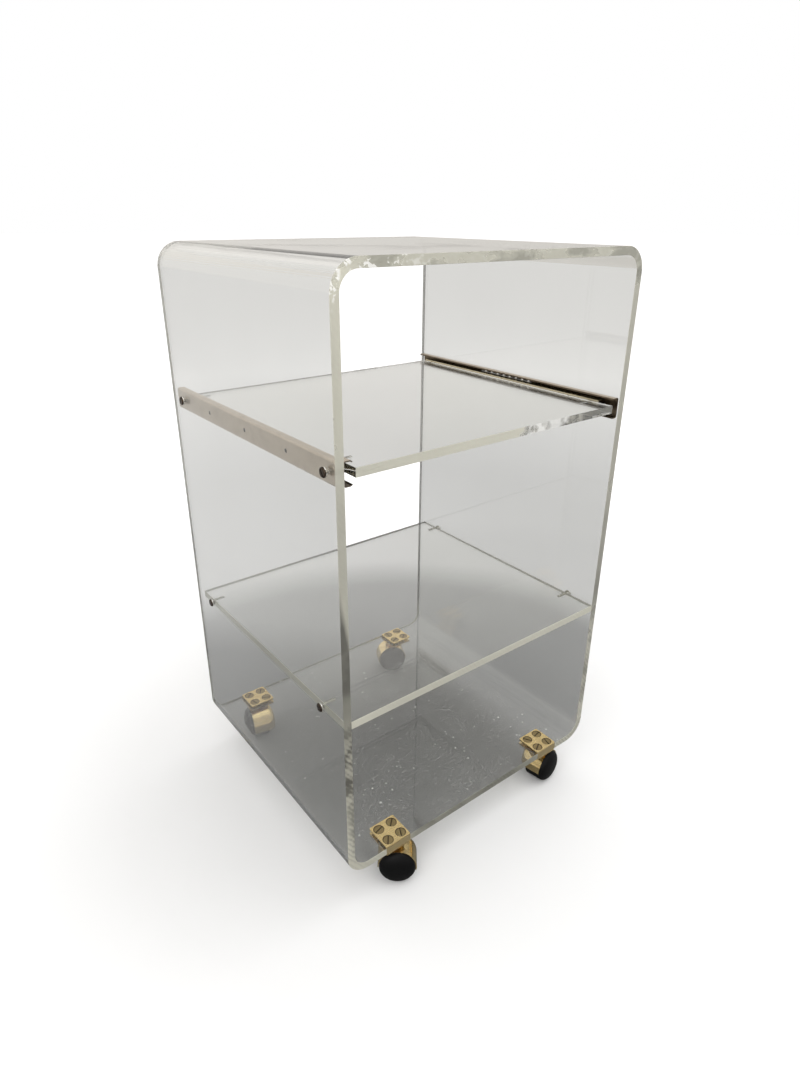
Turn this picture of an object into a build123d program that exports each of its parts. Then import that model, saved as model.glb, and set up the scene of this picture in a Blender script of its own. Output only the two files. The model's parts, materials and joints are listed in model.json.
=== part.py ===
"""Clear acrylic serving trolley: a bent case, a fixed shelf, a shelf on ball slides and four hooded casters.

Millimetres, +Z up. The origin is on the floor under the middle of the case, and the shelf pulls out toward -Y.
"""
from build123d import *
from math import cos, sin, radians
import os

os.makedirs("parts", exist_ok=True)

# Case: one sheet bent into a loop, open at the front and the back
case_width = 430.0
case_depth = 388.0
case_height = 705.0
sheet = 10.0
bend_radius = 30.0

# Fixed lower shelf, heights above the underside of the case
lower_shelf_top = 232.0
lower_shelf_setback = 17.0
lower_screw_spacing = 292.0

# Sliding shelf
sliding_shelf_top = 521.0
sliding_shelf_setback = 23.0
shelf_travel = 250.0

# Side screws: slotted round heads on the outside of the case
side_head_radius = 5.5
side_head_height = 2.6
side_shank_radius = 2.4
side_slot_width = 1.4
side_slot_depth = 1.2
lower_screw_grip = 16.0
shank_clearance = 0.15

# Ball slides: channel on the case, runner on the shelf, caged balls between them
slide_thickness = 12.7
slide_height = 26.0
slide_steel = 1.2
slide_corner = 1.6
channel_front_gap = 2.0
channel_end_margin = 14.0
ball_radius = 2.35
ball_play = 0.05
ball_depth = 7.4
ball_pitch = 12.0
ball_count = 8
lip_angle = 60.0
runner_front_setback = 22.5
retainer_steel = 0.8
retainer_gap = 0.7
retainer_rim = 0.9
ball_hole_play = 0.1
stop_width = 6.0
stop_thickness = 2.0
stop_gap = 0.3
front_stop_margin = 8.0
front_fixing_inset = 18.0
rear_fixing_inset = 20.0
spare_hole_radius = 2.3
spare_hole_spacing = 92.0
fixing_tip = 0.3

# Runner screws into the ends of the sliding shelf
runner_head_radius = 3.6
runner_head_height = 1.8
runner_shank_radius = 1.9
runner_screw_grip = 18.0
runner_screw_inset = 12.0

# Caster plates clamp the bottom sheet
plate_size = 38.0
plate_corner = 2.0
top_plate_thickness = 2.0
base_plate_thickness = 2.5
plate_screw_spacing = 20.0
plate_head_radius = 6.8
plate_head_gap = 0.35
plate_head_height = 1.6
plate_shank_radius = 2.6
plate_slot_width = 1.5
plate_slot_depth = 0.8
caster_side_inset = 76.0

# Casters: a hood closed on one side over one domed wheel; headings point from the axle to the swivel pin
wheel_radius = 23.8
axle_drop = 32.7
caster_trail = 10.0
hood_wall = 1.2
hood_clearance = 0.4
hood_front = 16.5
hood_back = 19.0
hood_rounding = 11.0
hood_lead_angle = 4.0
hood_trail_angle = 186.0
wheel_back = 8.0
dome_start = 16.0
dome_height = 10.0
dome_shoulder = 4.0
wheel_edge = 1.2
axle_radius = 3.0
axle_play = 0.05
axle_reach = 19.0
axle_end_gap = 0.6
boss_radius = 6.0
boss_gap = 0.5
pin_radius = 3.3
pin_play = 0.05
pin_head_radius = 4.7
pin_head_height = 2.2
pin_head_gap = 0.3
pocket_radius = 6.6
pocket_depth = 9.0
neck_radius = 10.0
neck_wall = 3.0
swivel_gap = 0.4
caster_headings = {
    "front_left": 142.0,
    "front_right": 190.0,
    "rear_left": 78.0,
    "rear_right": 335.0,
}
# The side of its axle that each wheel's dome faces: casters of this kind are sold in both hands
dome_sides = {
    "front_left": -1,
    "front_right": -1,
    "rear_left": -1,
    "rear_right": 1,
}

# Places worked out from the sizes above
half_width = case_width / 2
half_depth = case_depth / 2
inner_face = half_width - sheet
ground_clearance = axle_drop + wheel_radius
case_middle = ground_clearance + case_height / 2
lower_shelf_middle = ground_clearance + lower_shelf_top - sheet / 2
sliding_shelf_middle = ground_clearance + sliding_shelf_top - sheet / 2
slide_middle = sliding_shelf_middle
shelf_half_width = inner_face - slide_thickness

race_radius = ball_radius + ball_play
ball_height = slide_height / 2 - slide_steel - race_radius
runner_half_height = ball_height - race_radius
retainer_length = ball_count * ball_pitch + 2 * retainer_rim
retainer_back = slide_steel + retainer_gap
retainer_front = ball_depth + ball_radius + ball_hole_play + retainer_rim

channel_front = -half_depth + channel_front_gap
front_stop = channel_front + front_stop_margin
retainer_start = front_stop + stop_thickness + stop_gap + shelf_travel / 2
retainer_middle = retainer_start + retainer_length / 2
runner_front = -half_depth + runner_front_setback
runner_stop = retainer_start + retainer_length + shelf_travel / 2 + stop_gap
runner_rear = runner_stop + stop_thickness
rear_stop = runner_rear + stop_gap
channel_rear = rear_stop + stop_thickness + channel_end_margin
channel_middle = (channel_front + channel_rear) / 2
fixing_places = [channel_front + front_fixing_inset, channel_rear - rear_fixing_inset]
spare_places = [channel_middle + step * spare_hole_spacing for step in (-1, 0, 1)]
runner_screw_places = [runner_front + runner_screw_inset, runner_stop - runner_screw_inset]

caster_places = {
    "front_left": (-half_width + caster_side_inset, -half_depth + plate_size / 2),
    "front_right": (half_width - caster_side_inset, -half_depth + plate_size / 2),
    "rear_left": (-half_width + caster_side_inset, half_depth - plate_size / 2),
    "rear_right": (half_width - caster_side_inset, half_depth - plate_size / 2),
}
sheet_top = ground_clearance + sheet
hood_inner = wheel_radius + hood_clearance
hood_outer = hood_inner + hood_wall
neck_top = ground_clearance - base_plate_thickness - swivel_gap
pin_seat = neck_top - neck_wall

SIDES = {"left": -1, "right": 1}


def case_side_plane(side, along, height):
    """A plane on the outside of a case side, with its normal pointing outward."""
    return Plane(origin=(side * half_width, along, height), x_dir=(0, 1, 0), z_dir=(side, 0, 0))


def slide_plane(side, along):
    """A plane across a slide: x runs from the case's inner face toward the shelf, y runs up."""
    return Plane(origin=(side * inner_face, along, slide_middle), x_dir=(-side, 0, 0), z_dir=(0, side, 0))


def caster_plane(corner):
    """A plane across a wheel's axle: z runs along the axle toward the dome, and y runs up."""
    heading = radians(caster_headings[corner])
    place_x, place_y = caster_places[corner]
    dome = dome_sides[corner]
    centre_x = place_x - caster_trail * cos(heading)
    centre_y = place_y - caster_trail * sin(heading)
    return Plane(
        origin=(centre_x, centre_y, wheel_radius),
        x_dir=(dome * cos(heading), dome * sin(heading), 0),
        z_dir=(dome * sin(heading), -dome * cos(heading), 0),
    )


# Case shell, with clearance holes for the side screws and the caster screws
with BuildPart() as case_shell:
    with BuildSketch(Plane.XZ):
        with Locations((0, case_middle)):
            RectangleRounded(case_width, case_height, bend_radius)
            RectangleRounded(case_width - 2 * sheet, case_height - 2 * sheet, bend_radius - sheet, mode=Mode.SUBTRACT)
    extrude(amount=half_depth, both=True)
    for side in SIDES.values():
        for along in (-lower_screw_spacing / 2, lower_screw_spacing / 2):
            with Locations(case_side_plane(side, along, lower_shelf_middle)):
                Hole(side_shank_radius + shank_clearance, depth=sheet)
        for along in fixing_places:
            with Locations(case_side_plane(side, along, slide_middle)):
                Hole(side_shank_radius + shank_clearance, depth=sheet)
    for place in caster_places.values():
        with Locations((place[0], place[1], sheet_top)):
            with GridLocations(plate_screw_spacing, plate_screw_spacing, 2, 2):
                Hole(plate_shank_radius + shank_clearance, depth=sheet)
case_shell.part.label = "case_shell"
export_step(case_shell.part, "parts/case_shell.step")

# Lower shelf, drilled in its ends for the screws
lower_shelf_depth = case_depth - lower_shelf_setback
with BuildPart() as lower_shelf:
    with BuildSketch(Plane.XY.offset(lower_shelf_middle)):
        with Locations((0, -lower_shelf_setback / 2)):
            Rectangle(2 * inner_face, lower_shelf_depth)
    extrude(amount=sheet / 2, both=True)
    for side in SIDES.values():
        for along in (-lower_screw_spacing / 2, lower_screw_spacing / 2):
            with Locations(case_side_plane(side, along, lower_shelf_middle).offset(-sheet)):
                Hole(side_shank_radius + shank_clearance, depth=lower_screw_grip)
lower_shelf.part.label = "lower_shelf"
export_step(lower_shelf.part, "parts/lower_shelf.step")


def make_side_screw(shank_length):
    """One slotted screw along Z, with its round head on the plane z = 0."""
    with BuildPart() as screw:
        Cylinder(side_shank_radius, shank_length, align=(Align.CENTER, Align.CENTER, Align.MAX))
        Cylinder(side_head_radius, side_head_height, align=(Align.CENTER, Align.CENTER, Align.MIN))
        fillet(screw.edges().group_by(Axis.Z)[-1], side_head_height / 2)
        with Locations((0, 0, side_head_height)):
            Box(
                2 * side_head_radius,
                side_slot_width,
                2 * side_slot_depth,
                rotation=(0, 0, 30),
                mode=Mode.SUBTRACT,
            )
    return screw.part


lower_screw = make_side_screw(sheet + lower_screw_grip)
with BuildPart() as lower_shelf_screws:
    for side in SIDES.values():
        for along in (-lower_screw_spacing / 2, lower_screw_spacing / 2):
            with Locations(case_side_plane(side, along, lower_shelf_middle)):
                add(lower_screw)
lower_shelf_screws.part.label = "lower_shelf_screws"
export_step(lower_shelf_screws.part, "parts/lower_shelf_screws.step")

fixing_screw = make_side_screw(sheet + slide_steel + fixing_tip)
with BuildPart() as slide_fixing_screws:
    for side in SIDES.values():
        for along in fixing_places:
            with Locations(case_side_plane(side, along, slide_middle)):
                add(fixing_screw)
slide_fixing_screws.part.label = "slide_fixing_screws"
export_step(slide_fixing_screws.part, "parts/slide_fixing_screws.step")

# Sliding shelf, drilled in its ends for the runner screws
sliding_shelf_depth = case_depth - sliding_shelf_setback
with BuildPart() as sliding_shelf:
    with BuildSketch(Plane.XY.offset(sliding_shelf_middle)):
        with Locations((0, -sliding_shelf_setback / 2)):
            Rectangle(2 * shelf_half_width, sliding_shelf_depth)
    extrude(amount=sheet / 2, both=True)
    for side in SIDES.values():
        for along in runner_screw_places:
            with Locations(case_side_plane(side, along, slide_middle).offset(-sheet - slide_thickness)):
                Hole(runner_shank_radius + shank_clearance, depth=runner_screw_grip)
sliding_shelf.part.label = "sliding_shelf"
export_step(sliding_shelf.part, "parts/sliding_shelf.step")


def race_point(centre_height, angle):
    """A point on a ball race, by its angle from straight up toward the shelf."""
    return (
        ball_depth + race_radius * sin(radians(angle)),
        centre_height + race_radius * cos(radians(angle)),
    )


channel_flat = ball_height + race_radius
channel_turn = channel_flat - slide_corner
runner_turn = runner_half_height - slide_corner
arc_half = slide_corner * (1 - cos(radians(45)))

for side_name, side in SIDES.items():
    # Channel: a bent steel strip whose two lips curl over the balls
    with BuildPart() as channel:
        with BuildSketch(slide_plane(side, channel_middle)):
            with BuildLine():
                ThreePointArc(
                    race_point(ball_height, lip_angle),
                    race_point(ball_height, lip_angle / 2),
                    race_point(ball_height, 0),
                )
                Line((ball_depth, channel_flat), (slide_steel + slide_corner, channel_flat))
                ThreePointArc(
                    (slide_steel + slide_corner, channel_flat),
                    (slide_steel + arc_half, channel_flat - arc_half),
                    (slide_steel, channel_turn),
                )
                Line((slide_steel, channel_turn), (slide_steel, -channel_turn))
                ThreePointArc(
                    (slide_steel, -channel_turn),
                    (slide_steel + arc_half, arc_half - channel_flat),
                    (slide_steel + slide_corner, -channel_flat),
                )
                Line((slide_steel + slide_corner, -channel_flat), (ball_depth, -channel_flat))
                ThreePointArc(
                    race_point(-ball_height, 180),
                    race_point(-ball_height, 180 - lip_angle / 2),
                    race_point(-ball_height, 180 - lip_angle),
                )
                offset(amount=slide_steel, side=Side.RIGHT)
            make_face()
        extrude(amount=(channel_rear - channel_front) / 2, both=True)
        for along in fixing_places:
            with Locations(case_side_plane(side, along, slide_middle).offset(-sheet)):
                Hole(side_shank_radius + shank_clearance, depth=slide_steel)
        for along in spare_places:
            with Locations(case_side_plane(side, along, slide_middle).offset(-sheet)):
                Hole(spare_hole_radius, depth=slide_steel)
        # Lanced stops: one halts the ball cage at full travel, one halts the runner when closed
        for start, reach in ((front_stop, retainer_back + retainer_steel), (rear_stop, ball_depth)):
            with Locations((side * (inner_face - reach / 2), start + stop_thickness / 2, slide_middle)):
                Box(reach, stop_thickness, stop_width)
    channel.part.label = f"{side_name}_slide_channel"
    export_step(channel.part, f"parts/{side_name}_slide_channel.step")

    # Runner: a smaller strip inside the channel, whose lips curl under the balls
    with BuildPart() as runner:
        with BuildSketch(slide_plane(side, (runner_front + runner_rear) / 2)):
            with BuildLine():
                ThreePointArc(
                    race_point(ball_height, 180 + lip_angle),
                    race_point(ball_height, 180 + lip_angle / 2),
                    race_point(ball_height, 180),
                )
                Line((ball_depth, runner_half_height), (slide_thickness - slide_corner, runner_half_height))
                ThreePointArc(
                    (slide_thickness - slide_corner, runner_half_height),
                    (slide_thickness - arc_half, runner_half_height - arc_half),
                    (slide_thickness, runner_turn),
                )
                Line((slide_thickness, runner_turn), (slide_thickness, -runner_turn))
                ThreePointArc(
                    (slide_thickness, -runner_turn),
                    (slide_thickness - arc_half, arc_half - runner_half_height),
                    (slide_thickness - slide_corner, -runner_half_height),
                )
                Line((slide_thickness - slide_corner, -runner_half_height), (ball_depth, -runner_half_height))
                ThreePointArc(
                    race_point(-ball_height, 0),
                    race_point(-ball_height, -lip_angle / 2),
                    race_point(-ball_height, -lip_angle),
                )
                offset(amount=slide_steel, side=Side.RIGHT)
            make_face()
        extrude(amount=(runner_rear - runner_front) / 2, both=True)
        for along in runner_screw_places:
            with Locations(case_side_plane(side, along, slide_middle).offset(-sheet - slide_thickness + slide_steel)):
                Hole(runner_shank_radius + shank_clearance, depth=slide_steel)
        # The bent end of the runner, which meets the ball cage at full travel
        stop_reach = slide_thickness - retainer_back
        with Locations(
            (side * (inner_face - retainer_back - stop_reach / 2), runner_stop + stop_thickness / 2, slide_middle)
        ):
            Box(stop_reach, stop_thickness, stop_width)
    runner.part.label = f"{side_name}_slide_runner"
    export_step(runner.part, f"parts/{side_name}_slide_runner.step")

    # Ball cage: a U of thin steel with a row of holes in each arm
    ball_places = [
        retainer_middle + (number - (ball_count - 1) / 2) * ball_pitch for number in range(ball_count)
    ]
    cage_height = ball_height + retainer_steel / 2
    with BuildPart() as retainer:
        with BuildSketch(slide_plane(side, retainer_middle)):
            with BuildLine():
                Polyline(
                    (retainer_back, -cage_height),
                    (retainer_back, cage_height),
                    (retainer_front, cage_height),
                    (retainer_front, cage_height - retainer_steel),
                    (retainer_back + retainer_steel, cage_height - retainer_steel),
                    (retainer_back + retainer_steel, retainer_steel - cage_height),
                    (retainer_front, retainer_steel - cage_height),
                    (retainer_front, -cage_height),
                    close=True,
                )
            make_face()
        extrude(amount=retainer_length / 2, both=True)
        with Locations(
            *[(side * (inner_face - ball_depth), along, slide_middle) for along in ball_places]
        ):
            Cylinder(ball_radius + ball_hole_play, slide_height, mode=Mode.SUBTRACT)
    retainer.part.label = f"{side_name}_ball_retainer"
    export_step(retainer.part, f"parts/{side_name}_ball_retainer.step")

    with BuildPart() as balls:
        for row in (-1, 1):
            with Locations(
                *[
                    (side * (inner_face - ball_depth), along, slide_middle + row * ball_height)
                    for along in ball_places
                ]
            ):
                Sphere(ball_radius)
    balls.part.label = f"{side_name}_slide_balls"
    export_step(balls.part, f"parts/{side_name}_slide_balls.step")

# Runner screws: flat heads inside the runners, shanks in the ends of the sliding shelf
with BuildPart() as runner_screw:
    Cylinder(runner_shank_radius, slide_steel + runner_screw_grip, align=(Align.CENTER, Align.CENTER, Align.MAX))
    Cylinder(runner_head_radius, runner_head_height, align=(Align.CENTER, Align.CENTER, Align.MIN))
with BuildPart() as runner_screws:
    for side in SIDES.values():
        for along in runner_screw_places:
            with Locations(case_side_plane(side, along, slide_middle).offset(-sheet - slide_thickness + slide_steel)):
                add(runner_screw.part)
runner_screws.part.label = "runner_screws"
export_step(runner_screws.part, "parts/runner_screws.step")

# Slotted countersunk screws that clamp each pair of caster plates
with BuildPart() as plate_screw:
    Cylinder(
        plate_shank_radius,
        top_plate_thickness + sheet + base_plate_thickness,
        align=(Align.CENTER, Align.CENTER, Align.MAX),
    )
    with Locations((0, 0, -plate_head_height)):
        Cone(
            plate_shank_radius,
            plate_head_radius,
            plate_head_height,
            align=(Align.CENTER, Align.CENTER, Align.MIN),
        )
    Box(
        2 * plate_head_radius,
        plate_slot_width,
        2 * plate_slot_depth,
        rotation=(0, 0, 35),
        mode=Mode.SUBTRACT,
    )
plate_top = sheet_top + top_plate_thickness
with BuildPart() as caster_plate_screws:
    for place in caster_places.values():
        with Locations((place[0], place[1], plate_top)):
            with GridLocations(plate_screw_spacing, plate_screw_spacing, 2, 2):
                add(plate_screw.part)
caster_plate_screws.part.label = "caster_plate_screws"
export_step(caster_plate_screws.part, "parts/caster_plate_screws.step")

for corner, place in caster_places.items():
    # Top plate, countersunk for the screws
    with BuildPart() as top_plate:
        with BuildSketch(Plane.XY.offset(sheet_top)):
            with Locations(place):
                RectangleRounded(plate_size, plate_size, plate_corner)
        extrude(amount=top_plate_thickness)
        with Locations((place[0], place[1], plate_top - plate_head_height)):
            with GridLocations(plate_screw_spacing, plate_screw_spacing, 2, 2):
                Cone(
                    plate_shank_radius + plate_head_gap,
                    plate_head_radius + plate_head_gap,
                    plate_head_height,
                    align=(Align.CENTER, Align.CENTER, Align.MIN),
                    mode=Mode.SUBTRACT,
                )
        with Locations((place[0], place[1], plate_top)):
            with GridLocations(plate_screw_spacing, plate_screw_spacing, 2, 2):
                Hole(plate_shank_radius + shank_clearance, depth=top_plate_thickness)
    top_plate.part.label = f"{corner}_top_plate"
    export_step(top_plate.part, f"parts/{corner}_top_plate.step")

    # Base plate under the sheet, tapped for the screws and bored for the swivel pin
    with BuildPart() as base_plate:
        with BuildSketch(Plane.XY.offset(ground_clearance - base_plate_thickness)):
            with Locations(place):
                RectangleRounded(plate_size, plate_size, plate_corner)
        extrude(amount=base_plate_thickness)
        with Locations((place[0], place[1], ground_clearance)):
            with GridLocations(plate_screw_spacing, plate_screw_spacing, 2, 2):
                Hole(plate_shank_radius + shank_clearance, depth=base_plate_thickness)
            Hole(pin_radius, depth=base_plate_thickness)
    base_plate.part.label = f"{corner}_base_plate"
    export_step(base_plate.part, f"parts/{corner}_base_plate.step")

    # Swivel pin, riveted in the base plate, with a head that carries the hood
    pin_head_top = pin_seat - pin_head_gap
    with BuildPart() as swivel_pin:
        with BuildSketch(Plane.XY.offset(pin_head_top - pin_head_height)):
            with Locations(place):
                Circle(pin_head_radius)
        extrude(amount=pin_head_height)
        with BuildSketch(Plane.XY.offset(pin_head_top)):
            with Locations(place):
                Circle(pin_radius)
        extrude(amount=ground_clearance - pin_head_top)
    swivel_pin.part.label = f"{corner}_swivel_pin"
    export_step(swivel_pin.part, f"parts/{corner}_swivel_pin.step")

    # Room for the wheel inside the hood, rounded at the back
    across = caster_plane(corner)
    room_back = across.offset(hood_wall - hood_back)
    with BuildPart() as wheel_room:
        with BuildSketch(room_back):
            Circle(hood_inner)
        extrude(amount=hood_back - hood_wall + hood_front)
        back_edge = wheel_room.edges().filter_by(GeomType.CIRCLE).sort_by_distance(room_back.origin)[0]
        fillet(back_edge, hood_rounding - hood_wall)

    # Hood: a shell over the wheel, closed and rounded at the back, with a neck for the pin and a boss for the axle
    hood_plane = across.offset(-hood_back)
    boss_plane = across.offset(hood_wall / 2 - hood_back)
    dome = dome_sides[corner]
    ends = [radians(90 + dome * (angle - 90)) for angle in (hood_lead_angle, hood_trail_angle)]
    far = 2 * hood_outer
    with BuildPart() as hood:
        with BuildSketch(hood_plane):
            Circle(hood_outer)
        extrude(amount=hood_back + hood_front)
        back_edge = hood.edges().filter_by(GeomType.CIRCLE).sort_by_distance(hood_plane.origin)[0]
        fillet(back_edge, hood_rounding)
        with BuildSketch(Plane.XY.offset(wheel_radius)):
            with Locations(place):
                Circle(neck_radius)
        extrude(amount=neck_top - wheel_radius)
        add(wheel_room.part, mode=Mode.SUBTRACT)
        with BuildSketch(hood_plane):
            with BuildLine():
                Polyline(
                    (0, -boss_radius),
                    (far * cos(ends[0]), far * sin(ends[0])),
                    (0, -far),
                    (far * cos(ends[1]), far * sin(ends[1])),
                    close=True,
                )
            make_face()
        extrude(amount=hood_back + hood_front, mode=Mode.SUBTRACT)
        with BuildSketch(boss_plane):
            Circle(boss_radius)
        extrude(amount=hood_back - hood_wall / 2 - wheel_back - boss_gap)
        with BuildSketch(boss_plane):
            Circle(axle_radius)
        extrude(amount=hood_back, mode=Mode.SUBTRACT)
        with BuildSketch(Plane.XY.offset(pin_seat)):
            with Locations(place):
                Circle(pocket_radius)
        extrude(amount=-pocket_depth, mode=Mode.SUBTRACT)
        with BuildSketch(Plane.XY.offset(pin_seat)):
            with Locations(place):
                Circle(pin_radius + pin_play)
        extrude(amount=ground_clearance - pin_seat, mode=Mode.SUBTRACT)
    hood.part.label = f"{corner}_hood"
    export_step(hood.part, f"parts/{corner}_hood.step")

    # Axle, pressed into the boss
    with BuildPart() as axle:
        with BuildSketch(boss_plane):
            Circle(axle_radius)
        extrude(amount=axle_reach + hood_back - hood_wall / 2)
    axle.part.label = f"{corner}_axle"
    export_step(axle.part, f"parts/{corner}_axle.step")

    # Wheel: a drum with a domed face, blind to the axle
    bore = axle_radius + axle_play
    bore_end = axle_reach + axle_end_gap
    dome_top = dome_start + dome_height
    shoulder = wheel_radius - dome_shoulder
    with BuildPart() as wheel:
        with BuildSketch(Plane(origin=across.origin, x_dir=(0, 0, 1), z_dir=across.x_dir)):
            with BuildLine():
                Polyline(
                    (0, dome_top),
                    (0, bore_end),
                    (bore, bore_end),
                    (bore, -wheel_back),
                    (wheel_radius - wheel_edge, -wheel_back),
                    (wheel_radius, wheel_edge - wheel_back),
                    (wheel_radius, dome_start),
                )
                face = TangentArc(
                    (0, dome_top),
                    (shoulder, dome_start + dome_shoulder),
                    tangent=(1, 0),
                )
                TangentArc(face @ 1, (wheel_radius, dome_start), tangent=face % 1)
            make_face()
        revolve(axis=Axis(across.origin, across.z_dir))
    wheel.part.label = f"{corner}_wheel"
    export_step(wheel.part, f"parts/{corner}_wheel.step")
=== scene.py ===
"""Dresses the clear acrylic serving trolley: bent case, shelves, ball slides, screws and hooded brass casters."""
import json
import math

import bmesh
import bpy
from mathutils import Matrix, Vector


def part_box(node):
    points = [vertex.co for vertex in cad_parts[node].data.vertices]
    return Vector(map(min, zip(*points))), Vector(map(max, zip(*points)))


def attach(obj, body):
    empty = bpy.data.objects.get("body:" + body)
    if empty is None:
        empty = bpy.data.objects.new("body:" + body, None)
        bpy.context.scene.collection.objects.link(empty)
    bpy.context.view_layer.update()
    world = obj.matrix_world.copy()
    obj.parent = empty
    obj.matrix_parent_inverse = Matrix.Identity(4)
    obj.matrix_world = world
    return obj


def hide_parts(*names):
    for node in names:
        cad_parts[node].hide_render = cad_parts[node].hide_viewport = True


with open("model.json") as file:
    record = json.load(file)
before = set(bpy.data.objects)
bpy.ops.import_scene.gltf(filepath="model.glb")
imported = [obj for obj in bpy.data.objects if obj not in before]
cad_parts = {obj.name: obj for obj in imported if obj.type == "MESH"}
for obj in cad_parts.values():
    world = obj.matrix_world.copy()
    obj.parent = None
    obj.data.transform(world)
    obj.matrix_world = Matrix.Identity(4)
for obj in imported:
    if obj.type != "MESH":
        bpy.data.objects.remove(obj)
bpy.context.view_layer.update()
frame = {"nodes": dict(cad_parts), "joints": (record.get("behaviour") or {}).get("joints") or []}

bl_info = {
    "name": "Clear acrylic serving trolley",
    "version": (1, 0, 0),
    "blender": (4, 5, 0),
    "location": "View3D > Sidebar > Trolley",
    "description": "Acrylic panes, threaded screws, ball slides and hooded casters on the trolley's CAD frame",
    "category": "Object",
}

CORNERS = ("front_left", "front_right", "rear_left", "rear_right")
SIDES = {"left": -1, "right": 1}
CASE_LOW, CASE_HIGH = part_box("case_shell")
LOWER_LOW, LOWER_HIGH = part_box("lower_shelf")
SLIDING_LOW, SLIDING_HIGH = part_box("sliding_shelf")
LOWER_MIDDLE = (LOWER_LOW.z + LOWER_HIGH.z) / 2
SLIDING_MIDDLE = (SLIDING_LOW.z + SLIDING_HIGH.z) / 2
JOINTS = {joint["name"]: joint for joint in frame["joints"]}
ACRYLIC_IOR = 1.49
DRILL_ROOM = 0.00015  # a drilled hole's radius past its screw's
OVERRUN = 0.002  # how far a drill starts outside, or comes out
EVEN = (1.0, 1.0, 1.0)  # metal with no brushed direction
LENGTHWISE = (1.0, 0.03, 1.0)  # metal brushed along Y
WHITE = (1.0, 1.0, 1.0)
FINISHES = {}


class TrolleyAcrylic(bpy.types.PropertyGroup):
    """Sizes and colours of the bent case and the two shelves."""
    sheet: bpy.props.FloatProperty(
        name="Sheet", description="Thickness of the acrylic", default=0.010, unit="LENGTH")
    bend: bpy.props.FloatProperty(
        name="Bend radius", description="Outside radius of the case's bends", default=0.030, unit="LENGTH")
    chamfer: bpy.props.FloatProperty(
        name="Edge chamfer", description="Flat broken along every cut edge", default=0.0005, unit="LENGTH")
    air_gap: bpy.props.FloatProperty(
        name="Air gap", description="Air between a sheet and what lies on it", default=0.00005, unit="LENGTH")
    pane_colour: bpy.props.FloatVectorProperty(
        name="Pane colour", description="Colour of light through one pane", subtype="COLOR", size=3,
        default=(0.965, 0.970, 0.958))
    edge_colour: bpy.props.FloatVectorProperty(
        name="Cut edge colour", description="Colour of the sawn edges", subtype="COLOR", size=3,
        default=(0.81, 0.80, 0.69))
    saw_pitch: bpy.props.FloatProperty(
        name="Saw mark pitch", description="Distance between saw marks", default=0.0016, unit="LENGTH")


class TrolleyFasteners(bpy.types.PropertyGroup):
    """Sizes and colours of the slotted screws."""
    side_head_radius: bpy.props.FloatProperty(
        name="Side screw head radius", description="Head on the outside of the case", default=0.0055, unit="LENGTH")
    side_head_height: bpy.props.FloatProperty(
        name="Side screw head height", description="Height of that head", default=0.0026, unit="LENGTH")
    side_shank_radius: bpy.props.FloatProperty(
        name="Side screw radius", description="Radius over the thread", default=0.0024, unit="LENGTH")
    side_grip: bpy.props.FloatProperty(
        name="Lower shelf grip", description="How far a screw goes into the lower shelf", default=0.016, unit="LENGTH")
    side_spacing: bpy.props.FloatProperty(
        name="Lower screw spacing", description="Distance between the lower shelf's screws", default=0.292,
        unit="LENGTH")
    thread_pitch: bpy.props.FloatProperty(
        name="Thread pitch", description="Rise of one turn of the thread", default=0.0016, unit="LENGTH")
    runner_shank_radius: bpy.props.FloatProperty(
        name="Runner screw radius", description="Radius over the thread", default=0.0019, unit="LENGTH")
    runner_head_radius: bpy.props.FloatProperty(
        name="Runner screw head radius", description="Flat head inside a runner", default=0.0036, unit="LENGTH")
    runner_grip: bpy.props.FloatProperty(
        name="Runner screw grip", description="How far a screw goes into the shelf", default=0.018, unit="LENGTH")
    plate_head_radius: bpy.props.FloatProperty(
        name="Plate screw head radius", description="Countersunk head in a caster plate", default=0.0064,
        unit="LENGTH")
    plate_head_sink: bpy.props.FloatProperty(
        name="Plate screw sink", description="How far a head lies below its plate", default=0.0003, unit="LENGTH")
    plate_pitch: bpy.props.FloatProperty(
        name="Plate screw pitch", description="Distance between a plate's screws", default=0.020, unit="LENGTH")
    dark_colour: bpy.props.FloatVectorProperty(
        name="Dark screw colour", description="Bronzed steel of the side screws", subtype="COLOR", size=3,
        default=(0.060, 0.045, 0.034))


class TrolleyCasters(bpy.types.PropertyGroup):
    """Sizes and colours of the hooded casters."""
    wheel_radius: bpy.props.FloatProperty(
        name="Wheel radius", description="Rolling radius", default=0.0238, unit="LENGTH")
    wheel_back: bpy.props.FloatProperty(
        name="Wheel back", description="Axle distance of the wheel's flat back", default=-0.008, unit="LENGTH")
    dome_start: bpy.props.FloatProperty(
        name="Dome start", description="Axle distance where the dome begins", default=0.016, unit="LENGTH")
    dome_top: bpy.props.FloatProperty(
        name="Dome top", description="Axle distance of the dome's top", default=0.026, unit="LENGTH")
    brass_colour: bpy.props.FloatVectorProperty(
        name="Brass colour", description="Clean brass", subtype="COLOR", size=3, default=(0.73, 0.57, 0.29))
    tarnish_colour: bpy.props.FloatVectorProperty(
        name="Tarnish colour", description="Brass gone brown", subtype="COLOR", size=3, default=(0.30, 0.21, 0.105))
    wheel_colour: bpy.props.FloatVectorProperty(
        name="Wheel colour", description="Black plastic", subtype="COLOR", size=3, default=(0.0022, 0.0022, 0.0025))


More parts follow.
